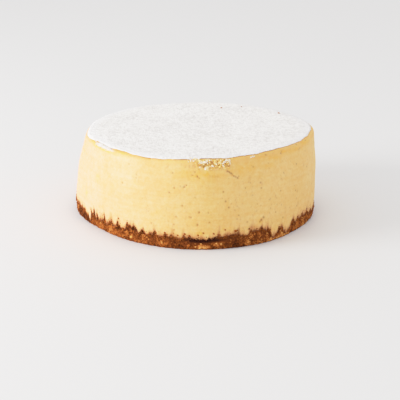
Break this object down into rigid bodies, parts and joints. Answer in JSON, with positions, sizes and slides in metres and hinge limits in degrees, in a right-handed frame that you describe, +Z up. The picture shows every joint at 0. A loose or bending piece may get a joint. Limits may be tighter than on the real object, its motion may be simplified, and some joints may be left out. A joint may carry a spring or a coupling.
{
  "type": "baked cheesecake",
  "caption": "Whole round baked cheesecake on a pressed biscuit crumb base, its flat top covered with a thin layer of sifted icing sugar.",
  "frame": {"origin": "middle of the cake's box on the flat underside of the crumb base, on the surface that it stands on", "axes": "+Z up out of the sugared top, -Y towards the front of the cake, whose top edge has the torn patch, and +X to its right"},
  "size_m": [0.2032, 0.1976, 0.0745],
  "materials": {
    "biscuit_crumb": "baked biscuit crumbs pressed with butter, rough and matt, dark brown with amber grains",
    "baked_filling": "smooth baked cream cheese custard, pale creamy yellow, slightly translucent, with fine pits",
    "icing_sugar": "finely sifted white icing sugar, dead matt and lightly grainy"
  },
  "bodies": {
    "root": {"crumb_base": "biscuit_crumb", "filling": "baked_filling", "icing_sugar": "icing_sugar"}
  },
  "joints": []
}
